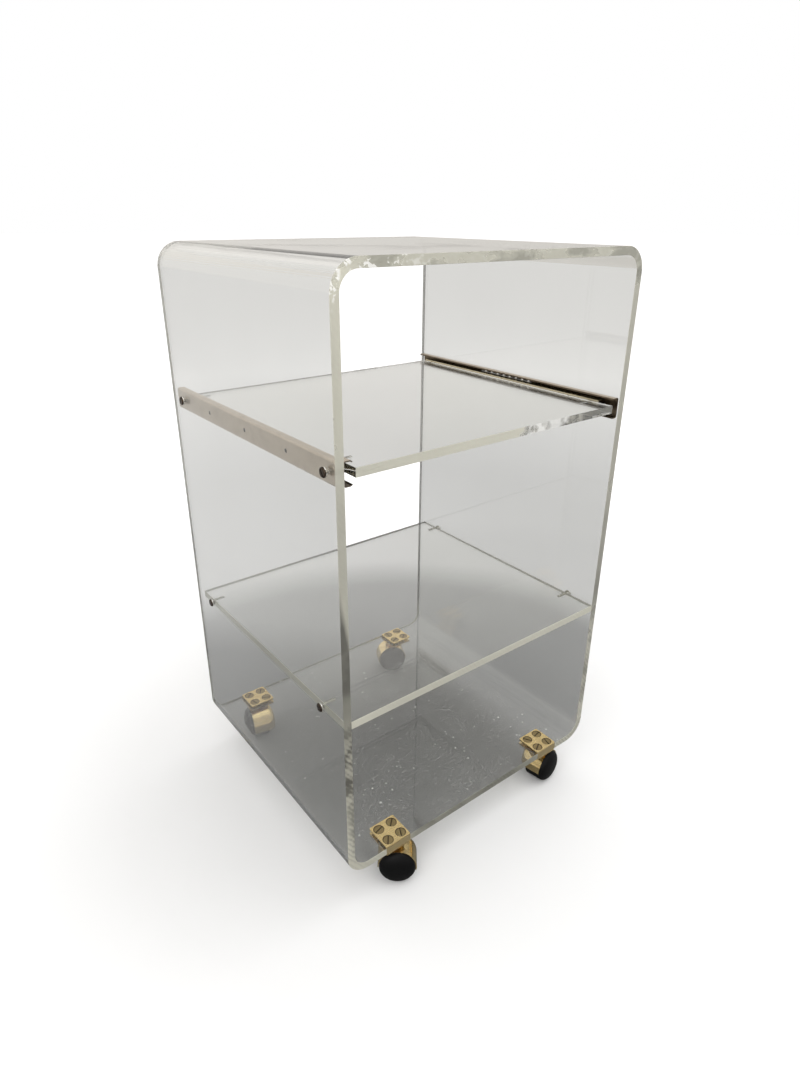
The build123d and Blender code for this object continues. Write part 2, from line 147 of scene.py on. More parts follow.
class TrolleyStage(bpy.types.PropertyGroup):
    """Floor, light and camera."""
    floor_colour: bpy.props.FloatVectorProperty(
        name="Floor colour", description="Plain pale floor", subtype="COLOR", size=3, default=(0.89, 0.90, 0.915))
    floor_shade: bpy.props.FloatVectorProperty(
        name="Floor shade", description="The floor as the panes and the metal show it", subtype="COLOR", size=3,
        default=(0.325, 0.33, 0.335))
    key_power: bpy.props.FloatProperty(
        name="Key power", description="Power that both soft lamps go by", default=26.0, unit="POWER")
    camera_place: bpy.props.FloatVectorProperty(
        name="Camera place", description="Where the camera stands", size=3, subtype="TRANSLATION",
        default=(-0.5377, -0.7045, 0.7939))
    camera_turn: bpy.props.FloatVectorProperty(
        name="Camera turn", description="Heading from +Y, downward tilt and roll", size=3, subtype="EULER",
        default=(math.radians(-37.876), math.radians(23.978), math.radians(0.32)))
    camera_lens: bpy.props.FloatProperty(
        name="Camera lens", description="Focal length for a 36 mm tall picture", default=23.64, unit="CAMERA")


def let_go():
    """Leaves nothing selected, so that an operator touches only what is picked next."""
    if bpy.context.object and bpy.context.object.mode != "OBJECT":
        bpy.ops.object.mode_set(mode="OBJECT")
    bpy.ops.object.select_all(action="DESELECT")


def hold(piece):
    """Makes one object the selected and active one."""
    let_go()
    piece.select_set(True)
    bpy.context.view_layer.objects.active = piece


def name_active(name):
    """Names the new object and its mesh."""
    piece = bpy.context.object
    piece.name = name
    piece.data.name = name
    return piece


def bake_place(piece):
    """Puts an object's place, turn and size into its mesh."""
    hold(piece)
    bpy.ops.object.transform_apply(location=True, rotation=True, scale=True)


def apply_modifier(piece, kind, **settings):
    """Adds a modifier with these settings and applies it."""
    hold(piece)
    bpy.ops.object.modifier_add(type=kind)
    modifier = piece.modifiers[-1]
    for key, value in settings.items():
        setattr(modifier, key, value)
    bpy.ops.object.modifier_apply(modifier=modifier.name)


def pick(piece, kind, test):
    """In edit mode, selects the faces, edges or vertices that pass the test."""
    hold(piece)
    bpy.ops.object.mode_set(mode="EDIT")
    bpy.ops.mesh.select_mode(type={"faces": "FACE", "edges": "EDGE", "verts": "VERT"}[kind])
    bpy.ops.mesh.select_all(action="DESELECT")
    cage = bmesh.from_edit_mesh(piece.data)
    for element in getattr(cage, kind):
        element.select_set(bool(test(element)))
    bmesh.update_edit_mesh(piece.data)


def edit_done():
    """Leaves edit mode."""
    bpy.ops.object.mode_set(mode="OBJECT")


def block(name, low, high):
    """A box between two corners."""
    let_go()
    low, high = Vector(low), Vector(high)
    bpy.ops.mesh.primitive_cube_add(size=1, location=(low + high) / 2)
    piece = name_active(name)
    piece.scale = high - low
    bake_place(piece)
    return piece


def rod(name, radius, start, end, vertices=40):
    """A round bar between two points."""
    let_go()
    start, end = Vector(start), Vector(end)
    turn = (end - start).to_track_quat("Z", "Y").to_euler()
    bpy.ops.mesh.primitive_cylinder_add(
        vertices=vertices, radius=radius, depth=(end - start).length, location=(start + end) / 2, rotation=turn)
    piece = name_active(name)
    bake_place(piece)
    return piece


def join(name, pieces):
    """Joins pieces into one object."""
    let_go()
    for piece in pieces:
        piece.select_set(True)
    bpy.context.view_layer.objects.active = pieces[0]
    if len(pieces) > 1:
        bpy.ops.object.join()
    return name_active(name)


def cut(piece, tools):
    """Takes the tools' shapes out of a piece."""
    tool = join("cutter", tools)
    apply_modifier(piece, "BOOLEAN", operation="DIFFERENCE", solver="EXACT", object=tool)
    bpy.data.objects.remove(tool)


def set_copies(pattern, places, name):
    """Copies a piece to each place, each with its own mesh, as one object. The pattern goes."""
    copies = []
    for place in places:
        copy = bpy.data.objects.new(name, pattern.data.copy())
        bpy.context.scene.collection.objects.link(copy)
        copy.matrix_world = place
        copies.append(copy)
    bpy.data.objects.remove(pattern)
    for copy in copies:
        bake_place(copy)
    return join(name, copies)


def along(direction, place, spin=0.0):
    """Where a screw made along +Z goes, with its head on place and turned by spin."""
    turn = Vector(direction).to_track_quat("Z", "Y").to_matrix().to_4x4()
    return Matrix.Translation(place) @ turn @ Matrix.Rotation(spin, 4, "Z")


def smooth(piece, degrees=35):
    """Smooth shading, sharp past this angle, with large faces kept flat."""
    hold(piece)
    bpy.ops.object.shade_smooth_by_angle(angle=math.radians(degrees))
    apply_modifier(piece, "WEIGHTED_NORMAL", weight=100, keep_sharp=True)


def node_copy(node, name, chamfer=0.0, degrees=30):
    """A CAD node's mesh as a new piece: triangles merged, flats made whole, edges broken and curves smooth."""
    piece = bpy.data.objects.new(name, frame["nodes"][node].data.copy())
    bpy.context.scene.collection.objects.link(piece)
    piece.data.materials.clear()
    hold(piece)
    bpy.ops.mesh.customdata_custom_splitnormals_clear()
    bpy.ops.object.mode_set(mode="EDIT")
    bpy.ops.mesh.select_all(action="SELECT")
    bpy.ops.mesh.remove_doubles(threshold=0.000005)
    bpy.ops.mesh.dissolve_limited(angle_limit=math.radians(0.3))
    edit_done()
    if chamfer:
        apply_modifier(piece, "BEVEL", width=chamfer, segments=2, limit_method="ANGLE",
                       angle_limit=math.radians(50), harden_normals=False)
    smooth(piece, degrees)
    return piece


def fill_slots(piece, *materials):
    """Gives a piece its materials, in order."""
    for material in materials:
        piece.data.materials.append(material)


def settle(piece, nodes, body, slot, *materials):
    """Gives a finished piece the materials it still lacks, hides its CAD nodes and hangs it on its body."""
    fill_slots(piece, *materials)
    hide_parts(*nodes)
    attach(piece, body)


class Web:
    """A tree of shader nodes being built."""

    def __init__(self, tree):
        self.tree = tree

    def feed(self, value, socket):
        """Links an output to a socket, or sets a constant on it."""
        if isinstance(value, bpy.types.NodeSocket):
            self.tree.links.new(value, socket)
        else:
            socket.default_value = value

    def node(self, kind, links=None, **settings):
        """Adds a node, sets its own settings, and links or sets its inputs."""
        added = self.tree.nodes.new("ShaderNode" + kind)
        for key, value in settings.items():
            setattr(added, key, value)
        for key, value in (links or {}).items():
            self.feed(value, added.inputs[key])
        return added

    def ramp(self, value, *stops):
        """Colours along a value, each stop a place and a colour."""
        node = self.node("ValToRGB", {"Fac": value})
        band = node.color_ramp
        while len(band.elements) < len(stops):
            band.elements.new(0.5)
        for element, (place, colour) in zip(band.elements, stops):
            element.position = place
            element.color = (*colour, 1.0)
        return node.outputs["Color"]

    def shares(self, value, *stops):
        """Shares along a value, each stop a place and a share."""
        return self.ramp(value, *((place, (share, share, share)) for place, share in stops))

    def span(self, value, low, high, start=0.0, end=1.0, **settings):
        """A value moved from start..end to low..high."""
        links = {"Value": value, "From Min": start, "From Max": end, "To Min": low, "To Max": high}
        return self.node("MapRange", links, **settings).outputs["Result"]

    def math(self, kind, first, second=0.0):
        """Two values put together, or one changed."""
        return self.node("Math", {0: first, 1: second}, operation=kind).outputs[0]

    def product(self, first, *others):
        """Values multiplied together."""
        for other in others:
            first = self.math("MULTIPLY", first, other)
        return first

    def mix(self, share, first, second, **settings):
        """Two colours mixed by a share."""
        links = {0: share}
        for key, colour in ((6, first), (7, second)):
            links[key] = colour if isinstance(colour, bpy.types.NodeSocket) else (*colour, 1.0)
        return self.node("Mix", links, data_type="RGBA", **settings).outputs[2]


class Finish(Web):
    """A material being built on Object coordinates."""

    def __init__(self, name):
        self.material = bpy.data.materials.new(name)
        self.material.use_nodes = True
        super().__init__(self.material.node_tree)
        self.shader = self.tree.nodes["Principled BSDF"]
        self.place = self.node("TexCoord").outputs["Object"]

    def axes(self):
        """The X, Y and Z of the place."""
        parts = self.node("SeparateXYZ", {"Vector": self.place})
        return [parts.outputs[axis] for axis in "XYZ"]

    def stretched(self, scale, turn=(0, 0, 0)):
        """Object coordinates stretched by scale and turned."""
        return self.node("Mapping", {"Vector": self.place, "Scale": scale, "Rotation": turn}).outputs[0]

    def noise(self, scale, detail=3.0, vector=None, rough=0.55):
        """Noise from 0 to 1."""
        links = {"Vector": vector or self.place, "Scale": scale, "Detail": detail, "Roughness": rough}
        return self.node("TexNoise", links).outputs[0]

    def cells(self, scale):
        """The tones of scattered cells and the distances from their middles."""
        node = self.node("TexVoronoi", {"Vector": self.place, "Scale": scale})
        return node.outputs["Color"], node.outputs["Distance"]

    def relief(self, height, strength, distance):
        """Bump from a height."""
        bump = self.node("Bump", {"Height": height, "Strength": strength, "Distance": distance})
        self.feed(bump.outputs[0], self.shader.inputs["Normal"])

    def give(self, **inputs):
        """Links or sets the shader's inputs, named with _ for a space, and hands the material over."""
        for key, value in inputs.items():
            self.feed(value, self.shader.inputs[key.replace("_", " ")])
        return self.material


def clear_acrylic(name):
    """Clear polished sheet: a faint tint, fine scratches, and specks and a haze of dust on the flat of the bottom."""
    settings = bpy.context.scene.trolley_acrylic
    colour = Vector(settings.pane_colour)
    finish = Finish(name)
    x, _, z = finish.axes()
    tone = finish.ramp(finish.noise(9.0, 4.0), (0.35, colour * 0.985), (0.7, colour))
    scratch = finish.noise(60.0, 2.0, finish.stretched((1.0, 14.0, 2.0), (0.3, 0.2, 0.5)))
    tones, distance = finish.cells(110.0)
    speck = finish.product(finish.math("LESS_THAN", distance, finish.span(tones, 0.0, 0.17, 0.47, 0.82)), 0.8,
                           finish.span(finish.noise(14.0, 2.0), 0.0, 1.0, 0.4, 0.55))
    haze = finish.product(finish.span(finish.noise(300.0, 4.0), 0.0, 0.42, 0.54, 0.73),
                          finish.span(finish.noise(22.0, 3.0), 0.2, 1.0, 0.4, 0.6))
    bend_start = CASE_HIGH.x - settings.bend
    flat = finish.span(finish.math("ABSOLUTE", x), 1.0, 0.1, bend_start - 0.015, bend_start)
    low = finish.span(z, 1.0, 0.12, CASE_LOW.z + 0.011, CASE_LOW.z + 0.05)
    dust = finish.product(finish.math("MAXIMUM", speck, haze), flat, low)
    finish.relief(finish.noise(6.0, 1.0), 0.03, 0.004)
    return finish.give(Base_Color=tone, Roughness=finish.span(scratch, 0.0, 0.05, 0.62, 0.85),
                       Transmission_Weight=finish.span(dust, 1.0, 0.1), IOR=ACRYLIC_IOR)


def sawn_acrylic(name):
    """A sawn edge: frosted cream with slanting saw marks, chipped and polished in places along the top, with painted
    dark reflection low down and at the back, and the caster plates' brass painted on it between them as a painted
    reflection."""
    settings = bpy.context.scene.trolley_acrylic
    colour = Vector(settings.edge_colour)
    finish = Finish(name)
    x, y, z = finish.axes()
    off_middle = finish.math("ABSOLUTE", x)
    marks = finish.node("TexWave", {
        "Vector": finish.stretched((1.0, 0.0, 0.75)), "Scale": 0.16 / settings.saw_pitch, "Distortion": 3.0,
        "Detail": 3.0, "Detail Scale": 1.6}, wave_type="BANDS", bands_direction="DIAGONAL").outputs["Fac"]
    band = finish.noise(14.0, 3.0)
    rough_cut = finish.span(z, 1.0, 0.25, CASE_LOW.z, LOWER_HIGH.z)
    stripes = finish.product(marks, rough_cut, finish.span(band, 0.2, 1.0, 0.35, 0.65))
    tone = finish.ramp(stripes, (0.0, colour), (0.4, colour * 0.94), (0.9, colour * 0.62))

    # painted dark reflection on the two uprights by height, on the bottom's front edge and on the rear edges
    lean = finish.math("ADD", z, finish.product(finish.math("SUBTRACT", x, CASE_LOW.x), 6.0))
    left = finish.shares(lean, (0.12, 0.0), (0.19, 1.0), (0.43, 1.0), (0.46, 0.36), (0.62, 0.28), (0.74, 0.1))
    right = finish.shares(z, (0.08, 0.1), (0.16, 0.6), (0.28, 0.75), (0.46, 0.42), (0.6, 0.2), (0.74, 0.08))
    upright = finish.math("GREATER_THAN", off_middle, CASE_HIGH.x - settings.sheet)
    blotch = finish.math("ADD", finish.noise(55.0, 3.0), finish.product(marks, 0.12))
    reflection_patches = finish.math("MAXIMUM", finish.span(blotch, 0.35, 1.0, 0.45, 0.65), finish.span(z, 0.0, 1.0, 0.2, 0.3))
    sides = finish.product(finish.mix(finish.math("GREATER_THAN", x, 0.0), left, right), upright, reflection_patches)
    foot = finish.product(finish.span(z, 1.0, 0.0, CASE_LOW.z + 0.010, CASE_LOW.z + 0.014),
                          finish.span(off_middle, 0.75, 0.0, 0.11, 0.15), finish.math("LESS_THAN", y, 0.0))
    dark_reflection = finish.product(finish.math("MAXIMUM", sides, foot), finish.span(band, 0.75, 1.0, 0.4, 0.6))
    rear = finish.product(finish.math("GREATER_THAN", y, LOWER_HIGH.y - 0.003), finish.span(x, 0.0, 1.0, -0.1, 0.0),
                          finish.span(z, 0.0, 1.0, 0.08, 0.12))
    tone = finish.mix(finish.math("MAXIMUM", dark_reflection, rear), tone, colour * 0.16)

    # chips by the left bend and polish along the top
    high = finish.span(z, 0.0, 1.0, CASE_HIGH.z - 0.045, CASE_HIGH.z - 0.03)
    near_corner = finish.span(x, 0.9, 0.1, CASE_LOW.x + 0.05, CASE_LOW.x + 0.12)
    chip = finish.product(finish.math("GREATER_THAN", finish.cells(260.0)[0], 0.55),
                          finish.span(finish.noise(120.0, 2.0), 0.0, 1.0, 0.5, 0.55), high, near_corner)
    streak = finish.noise(38.0, 3.0, finish.stretched((0.45, 1.0, 1.0)))
    polish = finish.product(finish.span(streak, 0.0, 0.22, 0.5, 0.58), high)
    tone = finish.mix(chip, tone, (1.0, 1.0, 0.98))

    # painted reflection: brass colour on the edge between the plates, for the plates seen through it
    plate_low, plate_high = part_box("front_left_top_plate")
    off_plate = finish.math("ABSOLUTE", finish.math("SUBTRACT", off_middle, abs(plate_low.x + plate_high.x) / 2))
    clamped = finish.product(finish.math("LESS_THAN", off_plate, (plate_high.x - plate_low.x) / 2),
                             finish.math("LESS_THAN", z, plate_high.z))
    brown = Vector(bpy.context.scene.trolley_casters.brass_colour) * 0.45
    clear = finish.math("ADD", finish.span(clamped, 0.45, 0.15), polish)
    finish.relief(stripes, 0.3, 0.0003)
    return finish.give(
        Base_Color=finish.mix(clamped, tone, brown),
        Roughness=finish.product(finish.span(band, 0.2, 0.42), finish.span(polish, 1.0, 0.2, 0.0, 0.22)),
        Transmission_Weight=finish.product(clear, finish.span(chip, 1.0, 0.2)), IOR=ACRYLIC_IOR)


def rubbed_acrylic(name):
    """The sliding shelf's edges: frosted cream at the left, rubbed clear toward the right with a painted highlight,
    and darkened at the back as a painted dark reflection.
    """
    settings = bpy.context.scene.trolley_acrylic
    colour, pane = Vector(settings.edge_colour), Vector(settings.pane_colour)
    finish = Finish(name)
    x, y, _ = finish.axes()
    blur = finish.noise(30.0, 3.0)
    drift = finish.math("ADD", x, finish.span(blur, -0.03, 0.03, 0.3, 0.7))
    rubbed = finish.span(drift, 0.0, 1.0, 0.012, 0.04)
    streak = finish.noise(90.0, 2.0, finish.stretched((0.4, 1.0, 1.6), (0.0, 0.5, 0.0)))
    # painted highlight: a band at the right made less clear, so that its pale colour shows as a glint
    glint = finish.product(finish.span(drift, 0.0, 1.0, 0.045, 0.055), finish.span(drift, 1.0, 0.0, 0.075, 0.095))
    tone = finish.mix(rubbed, colour * 0.95, pane)
    finish.relief(finish.span(streak, 0.0, 1.0, 0.5, 0.6), 0.25, 0.0008)
    # the base colour darkens the back edge as a painted dark reflection
    return finish.give(
        Base_Color=finish.mix(finish.math("GREATER_THAN", y, 0.0), tone, colour * 0.25),
        Roughness=finish.product(finish.span(blur, 0.3, 0.5), finish.span(rubbed, 1.0, 0.08)),
        Transmission_Weight=finish.math("SUBTRACT", finish.span(rubbed, 0.4, 1.0), finish.product(glint, 0.7)),
        IOR=ACRYLIC_IOR)


def worn_metal(name, clean, dark, rough, brush=EVEN, wear=0.5):
    """Plated or solid metal: brushed lines, blotches of tarnish and a worn sheen."""
    clean, dark = Vector(clean), Vector(dark)
    finish = Finish(name)
    blotch = finish.noise(70.0, 5.0)
    grain = finish.noise(900.0, 2.0, finish.stretched(brush))
    share = finish.math("ADD", finish.span(blotch, -0.25, wear, 0.3, 0.75), finish.span(grain, -0.1, 0.1))
    tone = finish.ramp(share, (0.0, clean), (0.55, clean.lerp(dark, 0.55)), (1.0, dark))
    sheen = finish.math("ADD", finish.span(grain, rough * 0.7, rough * 1.2), finish.span(blotch, -0.05, 0.1))
    finish.relief(grain, 0.15, 0.0002)
    return finish.give(Base_Color=tone, Metallic=1.0, Roughness=sheen)


def scuffed_black(name):
    """Moulded black plastic with fine grain and pale scuffs."""
    colour = Vector(bpy.context.scene.trolley_casters.wheel_colour)
    finish = Finish(name)
    grain = finish.noise(1400.0, 2.0)
    scuff = finish.noise(240.0, 6.0, finish.stretched((1.0, 0.35, 1.6), (0.4, 0.9, 0.2)), 0.7)
    tone = finish.mix(finish.span(scuff, 0.0, 1.0, 0.68, 0.8), colour, (0.07, 0.07, 0.07))
    finish.relief(finish.math("ADD", grain, scuff), 0.12, 0.0003)
    return finish.give(Base_Color=tone, Roughness=finish.span(scuff, 0.34, 0.7, 0.3, 0.8), Specular_IOR_Level=0.15)


def slot_grime(name):
    """Painted shade and dark polish residue in the slots and the countersinks round screw heads."""
    finish = Finish(name)
    crust = finish.noise(900.0, 4.0)
    finish.relief(crust, 0.4, 0.0002)
    tone = finish.ramp(crust, (0.3, (0.018, 0.012, 0.006)), (0.8, (0.075, 0.050, 0.024)))
    return finish.give(Base_Color=tone, Metallic=0.4, Roughness=finish.span(crust, 0.4, 0.7))


def look(name, make, *settings, **more):
    """One material of each name, made when it is first asked for."""
    if name not in FINISHES:
        FINISHES[name] = make(name, *settings, **more)
    return FINISHES[name]


def brass(name, rough, brush, wear):
    """Brass of one of the casters' pieces."""
    colours = bpy.context.scene.trolley_casters
    return look(name, worn_metal, colours.brass_colour, colours.tarnish_colour, rough, brush, wear)


def edge_faces(piece, test):
    """Gives the faces that pass a test the second material."""
    pick(piece, "faces", test)
    piece.active_material_index = 1
    bpy.ops.object.material_slot_assign()
    edit_done()


def acrylic_slots(piece, edge):
    """Clear panes first, cut edges second."""
    fill_slots(piece, look("clear_acrylic", clear_acrylic), look(edge.__name__, edge))


def side_screw_places():
    """The places of the side screws along Y, for the lower shelf and for the slides."""
    reach = bpy.context.scene.trolley_fasteners.side_spacing / 2
    low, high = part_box("left_slide_channel")
    return (-reach, reach), (low.y + 0.018, high.y - 0.020)


def runner_screw_places():
    """The places of a runner's screws along Y."""
    low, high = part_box("left_slide_runner")
    return low.y + 0.012, high.y - 0.014


def end_drills(reach, depth, radius, rows):
    """Drills into both ends of a piece that reaches this far, at each row's places and height."""
    return [rod("drill", radius + DRILL_ROOM, (side * (reach + OVERRUN), place, height),
                (side * (reach - depth), place, height), 24)
            for side in SIDES.values() for places, height in rows for place in places]


class BuildCase(bpy.types.Operator):
    """Bends one clear sheet into the case, drills it and saws its edges."""
    bl_idname = "trolley.case"
    bl_label = "Case"

    def execute(self, context):
        sizes = context.scene.trolley_acrylic
        screws = context.scene.trolley_fasteners
        gap = Vector((sizes.air_gap, 0.0, sizes.air_gap))
        piece = block("case", CASE_LOW + gap, CASE_HIGH - gap)
        pick(piece, "edges", lambda edge: abs(edge.verts[0].co.y - edge.verts[1].co.y) > sizes.bend)
        bpy.ops.mesh.bevel(offset=sizes.bend, segments=20, affect="EDGES")
        edit_done()
        pick(piece, "faces", lambda face: abs(face.normal.y) > 0.9)
        bpy.ops.mesh.delete(type="FACE")
        edit_done()
        apply_modifier(piece, "SOLIDIFY", thickness=sizes.sheet - 2 * sizes.air_gap, offset=-1.0,
                       use_even_offset=True)
        rim = CASE_HIGH.y - sizes.chamfer / 4
        pick(piece, "edges", lambda edge: all(abs(vert.co.y) > rim for vert in edge.verts)
             and any(abs(face.normal.y) < 0.5 for face in edge.link_faces))
        bpy.ops.mesh.bevel(offset=sizes.chamfer, segments=2, affect="EDGES")
        edit_done()
        lower, slides = side_screw_places()
        drills = end_drills(CASE_HIGH.x, sizes.sheet + OVERRUN, screws.side_shank_radius,
                            ((lower, LOWER_MIDDLE), (slides, SLIDING_MIDDLE)))
        plate_hole, plate_drill = 0.00275, 0.016
        for x, y, top in plate_screw_places():
            drills.append(rod("drill", plate_hole, (x, y, top), (x, y, top - plate_drill), 24))
        cut(piece, drills)
        acrylic_slots(piece, sawn_acrylic)
        edge_faces(piece, lambda face: abs(face.normal.y) > 0.3)
        smooth(piece)
        settle(piece, ["case_shell"], "case", "acrylic")
        return {"FINISHED"}


class BuildShelves(bpy.types.Operator):
    """Cuts the two clear shelves and drills their ends."""
    bl_idname = "trolley.shelves"
    bl_label = "Shelves"

    def execute(self, context):
        sizes = context.scene.trolley_acrylic
        screws = context.scene.trolley_fasteners
        gap = Vector((sizes.air_gap, 0.0, 0.0))
        lower = self.pane("lower_shelf", LOWER_LOW + gap, LOWER_HIGH - gap, sizes.chamfer)
        cut(lower, end_drills(LOWER_HIGH.x, screws.side_grip, screws.side_shank_radius,
                              ((side_screw_places()[0], LOWER_MIDDLE),)))
        acrylic_slots(lower, sawn_acrylic)
        edge_faces(lower, lambda face: abs(face.normal.y) > 0.3 or abs(face.normal.x) > 0.3)
        smooth(lower)
        settle(lower, ["lower_shelf"], "case", "acrylic")
        sliding = self.pane("sliding_shelf", SLIDING_LOW + gap, SLIDING_HIGH - gap, sizes.chamfer)
        cut(sliding, end_drills(SLIDING_HIGH.x, screws.runner_grip, screws.runner_shank_radius,
                                ((runner_screw_places(), SLIDING_MIDDLE),)))
        acrylic_slots(sliding, rubbed_acrylic)
        edge_faces(sliding, lambda face: abs(face.normal.y) > 0.3)
        smooth(sliding)
        settle(sliding, ["sliding_shelf"], "shelf", "acrylic")
        return {"FINISHED"}

    def pane(self, name, low, high, chamfer):
        """A flat sheet with its edges broken."""
        piece = block(name + "_pane", low, high)
        pick(piece, "edges", lambda edge: True)
        bpy.ops.mesh.bevel(offset=chamfer, segments=2, affect="EDGES")
        edit_done()
        return piece


def plate_screw_places():
    """The tops of the sixteen plate screws."""
    half = bpy.context.scene.trolley_fasteners.plate_pitch / 2
    places = []
    for corner in CORNERS:
        low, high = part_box(corner + "_top_plate")
        middle = (low + high) / 2
        places += [(middle.x + x * half, middle.y + y * half, high.z) for x in (-1, 1) for y in (-1, 1)]
    return places


def slot_cut(head, length, width, depth, top):
    """Saws a screwdriver slot across a head."""
    cut(head, [block("saw", (-length, -width / 2, top - depth), (length, width / 2, top + depth))])


def threaded_shank(radius, pitch, length):
    """A thread down from z = 0: a three-cornered tooth wound round a core."""
    core = radius * 0.78
    tooth = (radius - core * 0.94) / 1.5
    turn = (Matrix.Rotation(math.pi / 2, 4, "X") @ Matrix.Rotation(-math.pi / 2, 4, "Z")).to_euler()
    turns = int((length - 2 * tooth) / pitch) - 1
    let_go()
    bpy.ops.mesh.primitive_circle_add(
        vertices=3, radius=tooth, location=(radius - tooth, 0, -tooth - (turns + 1) * pitch), rotation=turn)
    thread = name_active("thread")
    bake_place(thread)
    apply_modifier(thread, "SCREW", axis="Z", angle=2 * math.pi, screw_offset=pitch, iterations=turns, steps=18,
                   render_steps=18, use_merge_vertices=False)
    hold(thread)
    bpy.ops.object.mode_set(mode="EDIT")
    bpy.ops.mesh.select_all(action="SELECT")
    bpy.ops.mesh.remove_doubles(threshold=0.000001)
    bpy.ops.mesh.select_mode(type="EDGE")
    bpy.ops.mesh.select_all(action="DESELECT")
    bpy.ops.mesh.select_non_manifold()
    bpy.ops.mesh.fill()
    bpy.ops.mesh.select_all(action="SELECT")
    bpy.ops.mesh.normals_make_consistent(inside=False)
    edit_done()
    bar = rod("core", core, (0, 0, -length), (0, 0, 0), 24)
    pick(bar, "edges", lambda edge: all(vert.co.z < -length / 2 for vert in edge.verts))
    bpy.ops.mesh.bevel(offset=core * 0.4, segments=2, affect="EDGES")
    edit_done()
    return join("shank", [bar, thread])


def round_head(radius, height, slot_width, slot_depth):
    """A low domed head with a slot, standing on z = 0."""
    head = rod("head", radius, (0, 0, 0), (0, 0, height), 48)
    pick(head, "edges", lambda edge: all(vert.co.z > height / 2 for vert in edge.verts))
    bpy.ops.mesh.bevel(offset=height * 0.72, segments=6, affect="EDGES")
    edit_done()
    slot_cut(head, radius * 1.2, slot_width, slot_depth, height)
    return head


class BuildScrews(bpy.types.Operator):
    """Makes the slotted, threaded screws of the sides, the slides and the sliding shelf."""
    bl_idname = "trolley.screws"
    bl_label = "Screws"

    def execute(self, context):
        sizes = context.scene.trolley_fasteners
        dark = look("bronzed_screw", worn_metal, sizes.dark_colour, Vector(sizes.dark_colour) * 0.4, 0.32)
        bright = look("zinc_thread", worn_metal, (0.90, 0.89, 0.86), (0.55, 0.54, 0.51), 0.26)
        lower, slides = side_screw_places()
        sheet = context.scene.trolley_acrylic.sheet
        for name, node, places, height, length, spins in (
            ("lower_screws", "lower_shelf_screws", lower, LOWER_MIDDLE, sheet + sizes.side_grip, (0.5, 1.9, 2.4, 0.9)),
            ("slide_screws", "slide_fixing_screws", slides, SLIDING_MIDDLE, sheet + 0.0015, (2.2, 1.2, 0.4, 1.7)),
        ):
            head = round_head(sizes.side_head_radius, sizes.side_head_height, 0.0014, 0.0012)
            shank = threaded_shank(sizes.side_shank_radius, sizes.thread_pitch, length)
            fill_slots(head, dark, bright)
            # painted highlight: the head's skirt and underside take the pale zinc of the thread, as a bright rim
            skirt = 0.4 * sizes.side_head_height
            edge_faces(head, lambda face: face.normal.z < 0.1 and face.calc_center_median().z < skirt)
            fill_slots(shank, bright)
            screw = join("screw", [head, shank])
            spots = [(side, place) for side in SIDES.values() for place in places]
            group = set_copies(screw, [along((side, 0, 0), (side * CASE_HIGH.x, place, height), spin)
                                       for (side, place), spin in zip(spots, spins)], name)
            smooth(group)
            settle(group, [node], "case", "dark_screw")
        wall = 0.0012  # of a runner, between a screw's head and the shelf
        head = round_head(sizes.runner_head_radius, 0.0018, 0.0009, 0.0007)
        shank = threaded_shank(sizes.runner_shank_radius, 0.0014, sizes.runner_grip + wall)
        screw = join("screw", [head, shank])
        places = [along((side, 0, 0), (side * (SLIDING_HIGH.x + wall), place, SLIDING_MIDDLE), spin)
                  for side in SIDES.values() for place, spin in zip(runner_screw_places(), (0.7, 2.0))]
        group = set_copies(screw, places, "shelf_screws")
        smooth(group)
        settle(group, ["runner_screws"], "shelf", "zinc_screw", bright)
        return {"FINISHED"}


